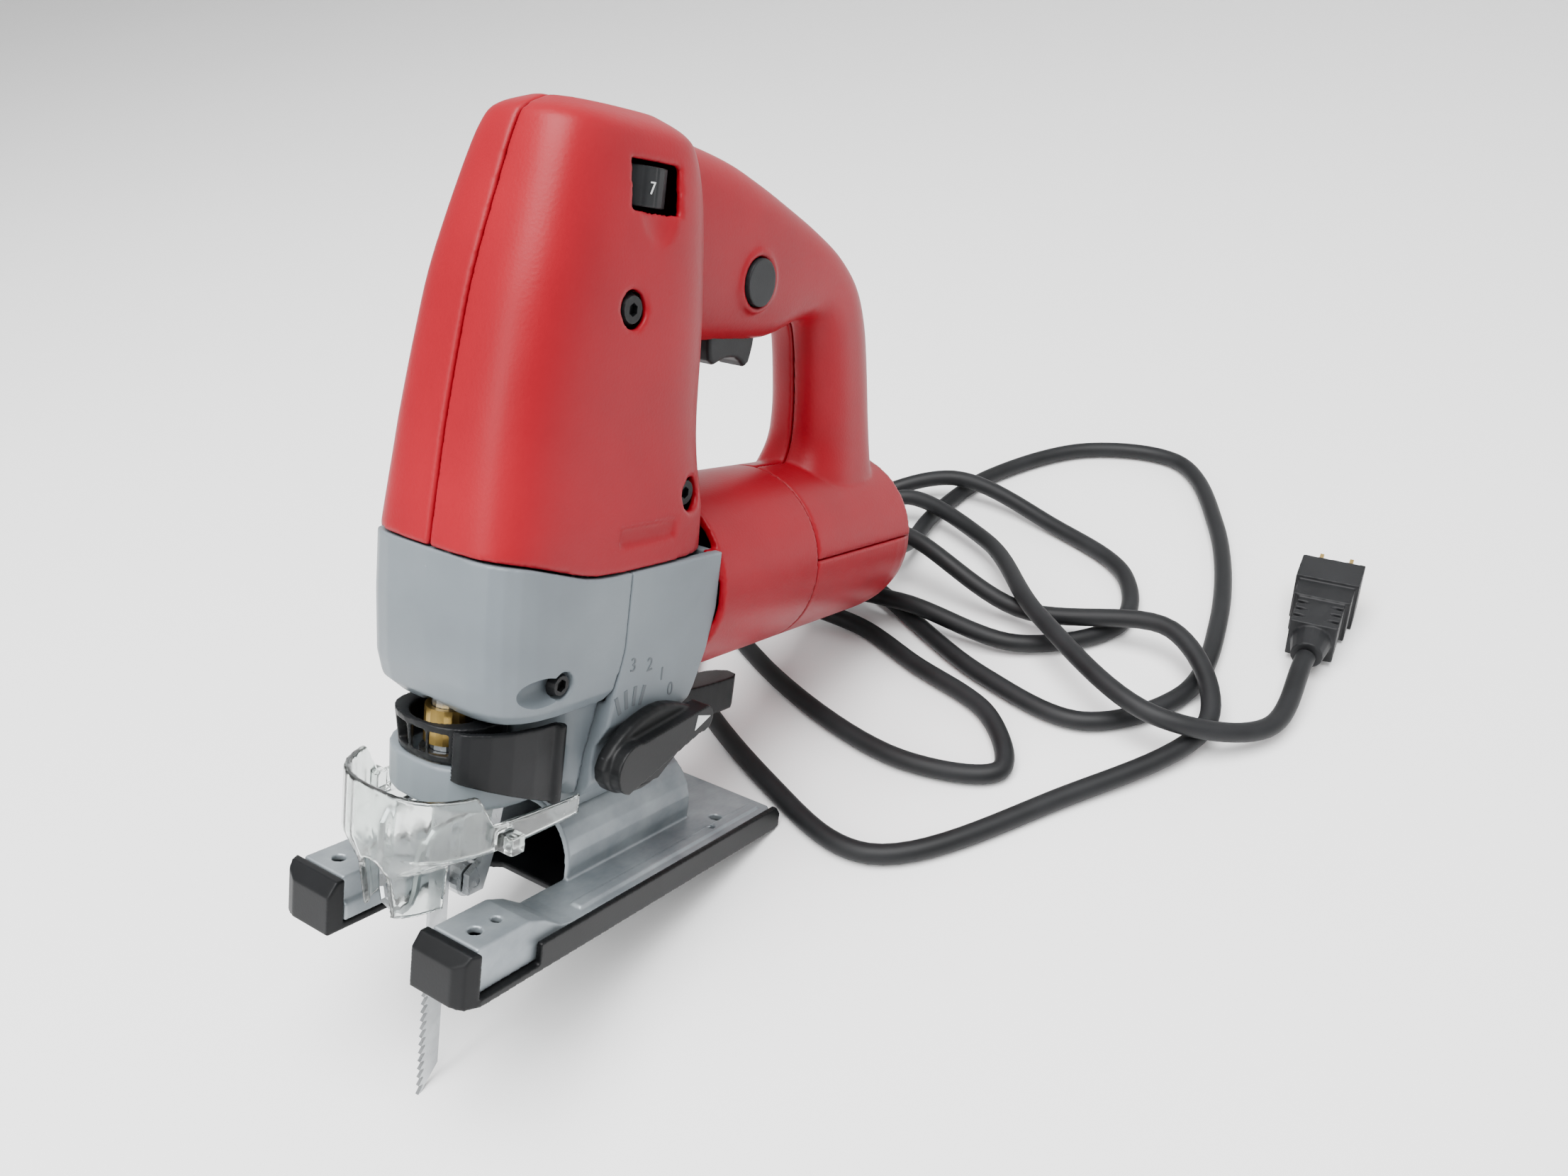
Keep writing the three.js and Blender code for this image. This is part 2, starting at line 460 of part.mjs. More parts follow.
function blade() {
  const back = TIP_X - 7.6, tip = -BLADE_REACH, root = TIP_X - 1.8, pitch = 3;
  let s = side([[root + 0.9, tip + 0.5], [root, tip + 2], [root, -5], [TIP_X - 0.3, -2], [TIP_X - 0.3, 42],
    [4, 44], [4, 53], [-3.2, 53], [-3.2, 44], [back, 42], [back, tip + 8.5]], -0.65, 0.65);
  for (let i = 0; i < 18; i++) {
    const z = tip + i * pitch;
    s = s.add(side([[root - 0.5, z + (i ? 0.2 : 1.4)], [TIP_X, z + (i ? 0.35 : 0)], [root + 0.1, z + 2.6], [root - 0.5, z + 2.6]],
      -0.65, 0.65));
  }
  return s;
}
piece("blade", blade(), STEEL);
piece("bushing_lower", ringAlong([0, 0, 1], [0, 0, 63.6], 11, 7, 5.3, 20), BRASS);
piece("bushing_upper", ringAlong([0, 0, 1], [0, 0, 86], 11, 7, 5.3, 20), BRASS);

// ---- blade clamp: open cage fixed under the case, lever turns round it ----
function cage() {
  let s = loft([level(61, -16, 11.6, 15.5, 2.4, 28), level(72.9, -16, 13, 17, 2.4, 28)]);
  s = s.subtract(rod([0, 0, 1], [0, 0, 55], 30, 11.2, 11.2, 22));
  s = s.subtract(rod([0, 0, 1], [0, 0, 63.2], 30, 11.2, 11.2, 22));
  for (const a of [-0.55, 0.05, 0.62])
    s = s.subtract(solid(toGeometry(box(8, 22, -3, 3, 63.4, 70.6)), turn([0, 0, 1], a)));
  return s;
}
piece("clamp_cage", cage(), BLACK);
// lever: curved plate outside the nose ring on the left, hinged at its rear edge
const LEVER_PIN = [-19.6, 26.2];
function clampLever() {
  let s = loft([level(42, -60, 15.9, 26.8, 2.6, 28), level(73, -60, 15.9, 26.8, 2.6, 28)]);
  s = s.subtract(loft([level(41, -60, 13.9, 24.6, 2.6, 28), level(74, -60, 13.9, 24.6, 2.6, 28)]));
  s = s.intersect(side([[11, 57.6], [11, 73], [-19.5, 71.5], [-19.5, 45.6]], 11, 40));
  return s.add(rod([0, 0, 1], [LEVER_PIN[0], LEVER_PIN[1], 45.6], 25.4, 2.2, 2.2, 16));
}
piece("clamp_lever", clampLever(), BLACK);

// ---- clear chip guard and wire finger guard ----
function chipGuard() {
  const wall = (grow, low, high) => loft([
    level(low, -60, 24.5 + grow, 13.6 + grow, 3, 34), level(30, -60, 27 + grow, 14.2 + grow, 3, 34),
    level(37, -60, 27.6 + grow, 26.2 + grow, 3, 34), level(high, -60, 27.4 + grow, 26.8 + grow, 3, 34)]);
  let s = wall(0, 15, 56).subtract(wall(-1.8, 14.5, 56.5));
  const keep = side([[40, 56.2], [40, 14], [9, 14], [9, 30], [2, 33], [-33, 33], [-33, 43.5], [4, 45.5], [10, 56]].reverse(), -50, 50);
  s = s.intersect(keep);
  // open front: a round-topped gap over the blade
  s = s.subtract(box(15, 40, -5.5, 5.5, 10, 28)).subtract(rod([1, 0, 0], [15, 0, 28], 20, 5.5, 5.5, 16));
  // finger tabs
  for (const m of [-1, 1]) {
    const y = [m * 25.4, m * 32].sort((a, b) => a - b);
    s = s.add(box(-2, 3.5, y[0], y[1], 37.5, 43.5));
  }
  return s.decompose().sort((a, b) => b.volume() - a.volume())[0];
}
piece("chip_guard", chipGuard(), CLEAR);

class Path extends THREE.Curve {
  constructor(points, closed = false) {
    super();
    this.inner = new THREE.CatmullRomCurve3(points.map((p) => new THREE.Vector3(...p)), closed, "centripetal");
  }
  getPoint(t, target) {
    return this.inner.getPoint(t, target);
  }
}
function tube(points, r, steps, sides) {
  const shape = new THREE.Shape();
  for (let i = 0; i < sides; i++) {
    const a = (2 * Math.PI * (i + 0.5)) / sides;
    i ? shape.lineTo(r * Math.cos(a), r * Math.sin(a)) : shape.moveTo(r * Math.cos(a), r * Math.sin(a));
  }
  shape.closePath();
  return new THREE.ExtrudeGeometry(shape, {
    steps, bevelEnabled: false, extrudePath: new Path(points),
  });
}
piece("wire_guard", solid(tube([[-12, 9.5, 42.2], [4, 9.5, 42.2], [13, 9, 40], [15.5, 7.6, 32], [16.2, 6.6, 20],
  [17.5, 4, 15.2], [18, 0, 14.6], [17.5, -4, 15.2], [16.2, -6.6, 20], [15.5, -7.6, 32], [13, -9, 40],
  [4, -9.5, 42.2], [-12, -9.5, 42.2]], 1.1, 28, 6)), BRASS);

// ---- roller guide behind the blade ----
const ROLLER = [-10.2, 13.5];
piece("guide_roller", ringAlong([0, 1, 0], [ROLLER[0], -3.2, ROLLER[1]], 6.4, 5.6, 1.8, 20), STEEL);
piece("roller_pin", rod([0, 1, 0], [ROLLER[0], -5.6, ROLLER[1]], 11.2, 1.7, 1.7, 16), STEEL);
function rollerArm() {
  const prof = [[-7, 10], [-13.5, 10], [-17.5, 22], [-20.8, 42], [-20.8, 60], [-16.8, 60], [-16, 40], [-12, 20], [-7, 17]];
  let s = side(prof, -6, 6);
  s = s.subtract(box(-17.2, -4, -3.6, 3.6, 6, 21));
  return s.subtract(rod([0, 1, 0], [ROLLER[0], -8, ROLLER[1]], 16, 1.75, 1.75, 16));
}
piece("roller_arm", rollerArm(), STEEL);

// ---- levers, buttons, switches ----
// orbit lever: black, with a grey face, on the left of the gear case
const ORBIT = [-47, 57];
function orbitLever() {
  const pts = smooth([[-31, 60], [-29.5, 54], [-33, 48.5], [-44, 44.3], [-56, 45], [-77, 58],
    [-80, 62.5], [-74, 66], [-58, 71], [-46, 69.5], [-38, 66]], 28);
  let s = side(pts, 31.9, 37.4, 1.4);
  s = s.subtract(side([[-39, 46.8], [-56, 45.9], [-74, 57.5], [-70, 60.4], [-46, 54]], 36, 40));
  return s.add(rod([0, 1, 0], [ORBIT[0], 21, ORBIT[1]], 12, 4, 4, 14));
}
piece("orbit_lever", orbitLever(), BLACK);
piece("orbit_lever_face", side([[-39.6, 47.3], [-56, 46.4], [-73, 57.6], [-69.8, 59.8], [-46.5, 53.8]], 36.3, 38.2), GREY);

// bevel clamp lever under the motor
function bevelLever() {
  let s = slab(smooth([[-91, -6], [-86, 0], [-91, 6], [-108, 9.5], [-128, 12.5], [-138, 12],
    [-140, 7], [-134, 2], [-118, -1], [-104, -6]], 26), 41.5, 54.5);
  s = s.add(rod([0, 0, 1], [-95, 0, 40], 13.5, 5.6, 5.6, 16));
  return s;
}
piece("bevel_lever", bevelLever(), BLACK);

function trigger() {
  const pts = smooth([[-104.2, 188], [-104.2, 176], [-106.5, 173.4], [-114, 175.6], [-122, 175.4], [-127.5, 172.3],
    [-129.6, 176], [-129.6, 188]], 24);
  return side(pts, -6, 6, 1.2);
}
piece("trigger", trigger(), DARK);
piece("switch_body", box(-134, -96, -9, 6.5, 197, 215), DARK);
piece("lock_button", rod([0, 1, 0], [-112, 10.4, 203], 8.2, 8.1, 8.1, 22), DARK);
function dial() {
  const c = [-44.8, 10.2];
  let s = rod([0, 0, 1], [c[0], c[1], 221.5], 11.2, 12.6, 12.6, 22);
  for (let i = 0; i < 16; i++) {
    const a = (i * Math.PI) / 8;
    s = s.subtract(rod([0, 0, 1], [c[0] + 12.8 * Math.cos(a), c[1] + 12.8 * Math.sin(a), 220], 15, 0.6, 0.6, 6));
  }
  return s.subtract(rod([0, 0, 1], [c[0], c[1], 218], 20, 2.2, 2.2, 16));
}
piece("speed_dial", dial(), DARK);
piece("speed_module", box(-62, -28, -14, -3.6, 203, 224).add(box(-56, -34, -6, 14, 203, 211))
  .add(rod([0, 0, 1], [-44.8, 10.2, 210], 24, 2, 2, 16)), DARK);

// ---- cord: strain relief on the rear cover, free cord on the table, plug ----
const GLAND = [CAP_X, 82];
function strainRelief() {
  let s = rod([1, 0, 0], [CAP_X - 34, 0, GLAND[1]], 34.5, 5, 7, 16).add(rod([1, 0, 0], [CAP_X, 0, GLAND[1]], 8, 7, 7, 16));
  s = s.add(rod([1, 0, 0], [CAP_X + 6.8, 0, GLAND[1]], 3, 9, 9, 16));
  for (let i = 0; i < 4; i++)
    s = s.subtract(ringAlong([1, 0, 0], [CAP_X - 9 - i * 6, 0, GLAND[1]], 2, 12, 5.3 - i * 0.3, 16));
  return s;
}
piece("strain_relief", strainRelief(), RUBBER);

// free cord lying on the table in the object's level frame, and its two-blade moulded plug
const CORD = [
  [-163.06, 0, 22.42], [-190.65, 0, 11.04], [-228, -5, 4.9], [-274, 4, 4.5], [-322, 40, 4.5],
  [-330, 88, 4.5], [-276, 126, 4.5], [-201, 150, 4.5], [-146, 152, 4.5], [-112, 122, 4.5],
  [-120, 74, 4.5], [-150, 14, 4.5], [-182, -40, 4.5], [-224, -44, 4.8], [-252, -6, 13.3],
  [-242, 56, 4.9], [-218, 100, 4.5], [-180, 112, 4.5], [-146, 78, 5.8], [-142, 22, 13.6],
  [-142, -30, 4.7], [-114, -56, 4.5], [-84, -18, 4.5], [-58, 66, 4.5], [-70, 104, 4.5], [-98, 86, 4.5],
  [-114, 44, 4.5], [-128, 2, 4.9], [-112, -44, 14.2], [-72, -50, 7.7], [-21, 28, 4.5], [-8, 80, 4.5],
  [-66, 130, 4.5], [-130, 167, 8.6], [-170, 138, 17.2], [-164, 70, 10.4], [-174, 8, 27.3],
  [-190, -32, 7.8], [-222, -20, 14.5], [-206, 34, 12.6], [-150, 86, 20.9], [-112, 150, 19.1],
  [-136, 188, 8.4], [-182.6, 190.8, 12],
];
piece("power_cord", solid(tube(CORD, CORD_R, 88, 8)), RUBBER, object);
const PLUG_AT = [-183.4, 190.8, 12];
function plugBody() {
  // along -x from the cord: sleeve, stepped grip, wide front block
  let s = rod([1, 0, 0], [-12, 0, 0], 12, 8.4, 6.4, 16);
  s = s.add(box(-30, -10.5, -9.5, 9.5, -9, 9)).add(box(-42, -29, -11.5, 11.5, -10, 10));
  s = s.add(box(-58, -41, -13, 13, -11.6, 11.6));
  for (const x of [-16, -21, -26]) s = s.subtract(ringAlong([1, 0, 0], [x, 0, 0], 1.6, 20, 10, 16));
  for (const m of [-1, 1]) s = s.subtract(box(-59, -50, m * 6.35 - 1.15, m * 6.35 + 1.15, -3.6, 3.6));
  return s;
}
const atPlug = (m) => m.rotate([0, 0, 4]).translate(PLUG_AT);
piece("plug_body", atPlug(plugBody()), RUBBER, object);
for (const [name, m] of [["plug_blade_left", 1], ["plug_blade_right", -1]])
  piece(name, atPlug(side([[-50.4, -3.2], [-50.4, 3.2], [-74, 3.2], [-76, 1.6], [-76, -1.6], [-74, -3.2]],
    m * 6.35 - 0.8, m * 6.35 + 0.8)), BRASS, object);

// ---- screws ----
function screw(axisY, x, y, z, r, l, shank) {
  let s = rod([0, 1, 0], [x, y, z], 2.6, r, r * 0.78, 16).add(rod([0, 1, 0], [x, y - l, z], l + 0.5, shank, shank, 16));
  return s.subtract(rod([0, 1, 0], [x, y + 1.0, z], 3, 2, 2, 6));
}
piece("handle_screw_upper", screw(1, -35.3, 23.6, 193.4, 5.1, 30, 2), BLACK);
// case screw in the recess of the front case
piece("case_screw", screw(1, -14, 27.6, 86, 3.9, 8, 1.8), STEEL);
piece("handle_screw_lower", screw(1, -70.2, 23.6, 136.9, 5.1, 30, 2), BLACK);

export default object;
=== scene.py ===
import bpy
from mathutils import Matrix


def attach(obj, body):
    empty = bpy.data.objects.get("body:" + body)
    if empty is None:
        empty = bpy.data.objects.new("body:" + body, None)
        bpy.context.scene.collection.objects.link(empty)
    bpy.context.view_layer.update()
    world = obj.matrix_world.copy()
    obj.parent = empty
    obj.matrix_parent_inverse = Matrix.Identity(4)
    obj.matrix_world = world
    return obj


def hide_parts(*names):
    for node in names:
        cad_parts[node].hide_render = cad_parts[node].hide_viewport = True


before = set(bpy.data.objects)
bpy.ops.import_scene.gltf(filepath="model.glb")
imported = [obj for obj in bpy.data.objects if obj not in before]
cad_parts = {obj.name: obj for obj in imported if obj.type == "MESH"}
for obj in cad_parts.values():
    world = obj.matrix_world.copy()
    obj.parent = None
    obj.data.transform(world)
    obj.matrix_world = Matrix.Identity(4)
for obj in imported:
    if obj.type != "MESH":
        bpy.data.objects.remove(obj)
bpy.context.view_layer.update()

import math
import bmesh
import bpy
from mathutils import Matrix, Vector

# ---- Table, soft light and camera ----
# A white sweep of satin card under three soft boxes, the way a small tool is lit for a
# catalogue. The card stays plain and only takes the contact shadow.
def linear(hexa):
    """An sRGB hex colour as linear RGBA."""
    parts = [int(hexa[i:i + 2], 16) / 255 for i in (1, 3, 5)]
    return tuple(c / 12.92 if c <= 0.04045 else ((c + 0.055) / 1.055) ** 2.4 for c in parts) + (1,)


def node(tree, kind, settings=None, **links):
    """Adds one node, sets its properties and sockets, and links it."""
    n = tree.nodes.new(kind)
    for k, v in (settings or {}).items():
        if hasattr(n, k):
            setattr(n, k, v)
        else:
            n.inputs[k.replace("_", " ")].default_value = v
    for k, v in links.items():
        socket = n.inputs[int(k[1:])] if k[0] == "i" and k[1:].isdigit() else n.inputs[k.replace("_", " ")]
        tree.links.new(v, socket)
    return n


def finish(name, **settings):
    """A new material with its shader's sockets set, and its node tree."""
    m = bpy.data.materials.new(name)
    m.use_nodes = True
    shader = m.node_tree.nodes["Principled BSDF"]
    for k, v in settings.items():
        shader.inputs[k.replace("_", " ")].default_value = v
    return m, m.node_tree, shader


card, tree, shader = finish("White satin card", Roughness=0.55)
place = node(tree, "ShaderNodeTexCoord")
speck = node(tree, "ShaderNodeTexNoise", {"Scale": 3.0, "Detail": 3.0}, Vector=place.outputs["Object"])
tone = node(tree, "ShaderNodeMapRange", {"To_Min": 0.93, "To_Max": 0.96}, Value=speck.outputs["Fac"])
tree.links.new(node(tree, "ShaderNodeCombineColor", Red=tone.outputs[0], Green=tone.outputs[0],
                    Blue=tone.outputs[0]).outputs[0], shader.inputs["Base Color"])
mesh = bpy.data.meshes.new("table")
sweep = [(-3.0, 0), (1.6, 0), (1.9, 0.05), (2.1, 0.2), (2.2, 0.5), (2.2, 3.0)]
corners = [(-x, y, z) for y in (-3.5, 3.5) for x, z in sweep]
mesh.from_pydata(corners, [], [(i, i + 1, i + 7, i + 6) for i in range(5)])
table = bpy.data.objects.new("table", mesh)
table.data.materials.append(card)
bpy.context.collection.objects.link(table)

for name, at, size, watts in (("light_over", (0.35, 0.1, 1.6), 1.3, 76),
                              ("light_left", (-0.9, 1.5, 1.0), 1.2, 5),
                              ("light_front", (1.5, -0.2, 0.9), 0.8, 16)):
    lamp = bpy.data.lights.new(name, "AREA")
    lamp.size, lamp.energy = size, watts
    o = bpy.data.objects.new(name, lamp)
    o.location = at
    o.rotation_euler = (Vector((0, 0, 0.08)) - Vector(at)).to_track_quat("-Z", "Y").to_euler()
    bpy.context.collection.objects.link(o)
world = bpy.data.worlds.new("soft room")
world.use_nodes = True
world.node_tree.nodes["Background"].inputs["Color"].default_value = (1, 1, 1, 1)
world.node_tree.nodes["Background"].inputs["Strength"].default_value = 0.62
bpy.context.scene.world = world

camera = bpy.data.objects.new("camera", bpy.data.cameras.new("camera"))
camera.data.sensor_width, camera.data.lens = 36, 28.43
camera.location = (0.2603, 0.2505, 0.3517)
camera.rotation_euler = [math.radians(a) for a in (54.699, 4.987, 122.67)]
camera.data.clip_start = 0.01
bpy.context.collection.objects.link(camera)
bpy.context.scene.camera = camera

# ---- Mains cord ----
# Two-core flexible cord, 8 mm across, in a black thermoset rubber jacket extruded round the
# cores. It leaves the rear cover, drops to the table and lies there in loose loops.
CORD_ROUTE = [
    (-0.16306, 0, 0.02242), (-0.19065, 0, 0.01104), (-0.228, -0.005, 0.0049),
    (-0.274, 0.004, 0.0045), (-0.322, 0.04, 0.0045), (-0.33, 0.088, 0.0045),
    (-0.276, 0.126, 0.0045), (-0.201, 0.15, 0.0045), (-0.146, 0.152, 0.0045),
    (-0.112, 0.122, 0.0045), (-0.12, 0.074, 0.0045), (-0.15, 0.014, 0.0045),
    (-0.182, -0.04, 0.0045), (-0.224, -0.044, 0.0048), (-0.252, -0.006, 0.0133),
    (-0.242, 0.056, 0.0049), (-0.218, 0.1, 0.0045), (-0.18, 0.112, 0.0045),
    (-0.146, 0.078, 0.0058), (-0.142, 0.022, 0.0136), (-0.142, -0.03, 0.0047),
    (-0.114, -0.056, 0.0045), (-0.084, -0.018, 0.0045), (-0.058, 0.066, 0.0045),
    (-0.07, 0.104, 0.0045), (-0.098, 0.086, 0.0045), (-0.114, 0.044, 0.0045),
    (-0.128, 0.002, 0.0049), (-0.112, -0.044, 0.0142), (-0.072, -0.05, 0.0077),
    (-0.021, 0.028, 0.0045), (-0.008, 0.08, 0.0045), (-0.066, 0.13, 0.0045),
    (-0.13, 0.167, 0.0086), (-0.17, 0.138, 0.0172), (-0.164, 0.07, 0.0104),
    (-0.174, 0.008, 0.0273), (-0.19, -0.032, 0.0078), (-0.222, -0.02, 0.0145),
    (-0.206, 0.034, 0.0126), (-0.15, 0.086, 0.0209), (-0.112, 0.15, 0.0191),
    (-0.136, 0.188, 0.0084), (-0.1826, 0.1908, 0.012),
]
CORD_RADIUS = 0.004


def flowing(points, per=12):
    """Points along a centripetal curve through the given ones."""
    pts = [Vector(p) for p in points]
    pts = [2 * pts[0] - pts[1]] + pts + [2 * pts[-1] - pts[-2]]
    out = []
    for i in range(1, len(pts) - 2):
        p, t = pts[i - 1:i + 3], [0]
        for a, b in zip(p, p[1:]):
            t.append(t[-1] + (b - a).length ** 0.5)
        for k in range(per):
            u = t[1] + (t[2] - t[1]) * k / per
            mix = lambda a, b, ta, tb: a * ((tb - u) / (tb - ta)) + b * ((u - ta) / (tb - ta))
            a1, a2, a3 = mix(p[0], p[1], t[0], t[1]), mix(p[1], p[2], t[1], t[2]), mix(p[2], p[3], t[2], t[3])
            out.append(mix(mix(a1, a2, t[0], t[2]), mix(a2, a3, t[1], t[3]), t[1], t[2]))
    return out + [pts[-2]]


line = flowing(CORD_ROUTE)
curve = bpy.data.curves.new("power_cord", "CURVE")
curve.dimensions, curve.bevel_depth, curve.bevel_resolution = "3D", CORD_RADIUS, 6
curve.use_fill_caps = True
spline = curve.splines.new("POLY")
spline.points.add(len(line) - 1)
for q, v in zip(spline.points, line):
    q.co = (*v, 1)
cord = bpy.data.objects.new("cord_jacket", curve)
bpy.context.collection.objects.link(cord)

def two_tone(ramp, low, start, high, end):
    """Sets a ramp's two colours and where they sit."""
    for stop, colour, at in zip(ramp.color_ramp.elements, (low, high), (start, end)):
        stop.color, stop.position = linear(colour), at


# black rubber jacket: dull, with a fine grit and cloudy patches of dust
jacket, tree, shader = finish("Black rubber cord jacket", Roughness=0.55, Specular_IOR_Level=0.3)
place = node(tree, "ShaderNodeTexCoord")
dust = node(tree, "ShaderNodeTexNoise", {"Scale": 45.0, "Detail": 5.0}, Vector=place.outputs["Object"])
grit = node(tree, "ShaderNodeTexNoise", {"Scale": 1400.0, "Detail": 2.0}, Vector=place.outputs["Object"])
ramp = node(tree, "ShaderNodeValToRGB", Fac=dust.outputs["Fac"])
two_tone(ramp, "#0C0D0F", 0.35, "#1A1B1D", 0.8)
tree.links.new(ramp.outputs[0], shader.inputs["Base Color"])
rough = node(tree, "ShaderNodeMapRange", {"To_Min": 0.45, "To_Max": 0.68}, Value=dust.outputs["Fac"])
tree.links.new(rough.outputs[0], shader.inputs["Roughness"])
bump = node(tree, "ShaderNodeBump", {"Strength": 0.25, "Distance": 0.0001}, Height=grit.outputs["Fac"])
tree.links.new(bump.outputs[0], shader.inputs["Normal"])
cord.data.materials.append(jacket)
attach(cord, "housing")
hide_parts("power_cord")

# ---- Moulded plug and strain relief ----
# Both are black thermoplastic rubber moulded round the cord: a ribbed tapering sleeve at the
# tool, and a stepped finger grip with two folded brass blades at the wall end.
TILT = math.atan2(60.1, 140.8)
TO_ROW = Matrix.Translation((0.11957, 0, 137.3e-3 * math.sin(TILT))) @ Matrix.Rotation(-TILT, 4, "Y")
TO_ROW = TO_ROW @ Matrix.Scale(0.001, 4)


def made(name, me, material, body, *nodes, slot=None, angle=80):
    """Puts a finished mesh in the scene as one piece of the tool."""
    o = bpy.data.objects.new(name, me)
    bpy.context.collection.objects.link(o)
    me.materials.clear()
    me.materials.append(material)
    for p in me.polygons:
        p.material_index = 0
    me.set_sharp_from_angle(angle=math.radians(angle))
    for p in me.polygons:
        p.use_smooth = True
    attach(o, body)
    if nodes:
        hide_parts(*nodes)
    return o


def evened(me, voxel, passes):
    """Evens a mesh into small quads and rounds its edges, as a mould or a brush does."""
    o = bpy.data.objects.new("work", me)
    bpy.context.collection.objects.link(o)
    re = o.modifiers.new("even", "REMESH")
    re.mode, re.voxel_size = "VOXEL", voxel
    if passes:
        sm = o.modifiers.new("round", "SMOOTH")
        sm.factor, sm.iterations = 0.5, passes
    out = bpy.data.meshes.new_from_object(o.evaluated_get(bpy.context.evaluated_depsgraph_get()))
    bpy.data.objects.remove(o)
    return out


def rounded(source, voxel=0.0005, passes=3):
    """A finer copy of a CAD node with its edges eased."""
    return evened(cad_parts[source].data.copy(), voxel, passes)


relief = made("strain_relief_sleeve", rounded("strain_relief", 0.0004, 3), jacket, "housing", "strain_relief",
              slot="rubber")
plug = made("plug_moulding", rounded("plug_body", 0.0004, 4), jacket, "housing", "plug_body", slot="rubber")
blades, tree, shader = finish("Stamped brass", Base_Color=linear("#C2A35E"), Metallic=1.0, Roughness=0.3)
place = node(tree, "ShaderNodeTexCoord")
wear = node(tree, "ShaderNodeTexNoise", {"Scale": 300.0, "Detail": 4.0}, Vector=place.outputs["Object"])
rough = node(tree, "ShaderNodeMapRange", {"To_Min": 0.2, "To_Max": 0.5}, Value=wear.outputs["Fac"])
tree.links.new(rough.outputs[0], shader.inputs["Roughness"])


def recoat(name, material):
    """Gives a CAD node its material and leaves its shape."""
    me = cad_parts[name].data
    me.materials.clear()
    me.materials.append(material)


for name in ("plug_blade_left", "plug_blade_right", "brush_holder_left", "brush_holder_right",
             "bushing_lower", "bushing_upper"):
    recoat(name, blades)

# ---- Handle halves ----
# Two glass-filled nylon shells, moulded in red with a fine spark texture and screwed together
# on the middle plane; they make the tall head, the grip, the rear post and its base.
MOTOR_Z, MOTOR_R, SEAM_X, CAP_X, CASE_REAR, SHELL = 98.7, 34.5, -150, -238, -88, 2.6
GRIP_STATIONS = [
    ((-50, 246), (-70, 181.5), 17), ((-95, 241), (-96, 181.5), 17), ((-118, 236), (-112, 181.5), 17),
    ((-140, 229.5), (-132, 182.5), 17), ((-158, 223.5), (-145, 187), 16.8), ((-176, 216), (-154, 190), 16.5),
    ((-192, 205), (-160.5, 189), 16.3), ((-203, 190), (-165.5, 182.5), 16.2),
    ((-211, 172), (-170, 168), 16.2),
    ((-218, 152), (-173.5, 152), 16.6), ((-222, 138), (-173.5, 138), 18), ((-224.5, 122), (-166, 122), 22),
    ((-225.5, 110), (-160, 110), 26)]


def loft(rings):
    """A closed skin through rings with the same number of points."""
    n = len(rings[0])
    verts = [v for r in rings for v in r]
    faces = [(j * n + i, j * n + (i + 1) % n, (j + 1) * n + (i + 1) % n, (j + 1) * n + i)
             for j in range(len(rings) - 1) for i in range(n)]
    faces += [tuple(range(n))[::-1], tuple(range((len(rings) - 1) * n, len(rings) * n))]
    me = bpy.data.meshes.new("loft")
    me.from_pydata(verts, [], faces)
    bm = bmesh.new()
    bm.from_mesh(me)
    bmesh.ops.recalc_face_normals(bm, faces=bm.faces)
    bmesh.ops.triangulate(bm, faces=[f for f in bm.faces if len(f.verts) > 4])
    bm.to_mesh(me)
    bm.free()
    return me


def power(v, e):
    return math.copysign(abs(v) ** (2 / e), v)


def level(z, xr, xf, h, e=2.6, n=120):
    """A level ring from xr to xf, half width h, squareness e."""
    out = []
    for i in range(n):
        t = 2 * math.pi * i / n
        x, y = (xr + xf) / 2 + (xf - xr) / 2 * power(math.cos(t), e), h * power(math.sin(t), e)
        out.append((x, y, z(x, y) if callable(z) else z))
    return out


def between(rows, per=8):
    """Rows of numbers blended smoothly, a few for each span."""
    out = []
    for i in range(len(rows) - 1):
        p0, p1, p2, p3 = rows[max(i - 1, 0)], rows[i], rows[i + 1], rows[min(i + 2, len(rows) - 1)]
        for k in range(per):
            t = k / per
            out.append([0.5 * (2 * b + (c - a) * t + (2 * a - 5 * b + 4 * c - d) * t * t
                               + (3 * b - a - 3 * c + d) * t ** 3) for a, b, c, d in zip(p0, p1, p2, p3)])
    return out + [list(rows[-1])]


def grip_skin(inset):
    rings = []
    for ox, oz, ix, iz, h in between([(*o, *i, h) for o, i, h in GRIP_STATIONS], 6):
        cx, cz, length = (ox + ix) / 2, (oz + iz) / 2, math.hypot(ox - ix, oz - iz)
        ux, uz, a, b = (ox - ix) / length, (oz - iz) / length, length / 2 - inset, h - inset
        rings.append([(cx + ux * a * power(math.cos(t), 2.7), b * power(math.sin(t), 2.7),
                       cz + uz * a * power(math.cos(t), 2.7))
                      for t in (2 * math.pi * k / 96 for k in range(96))])
    return loft(rings)


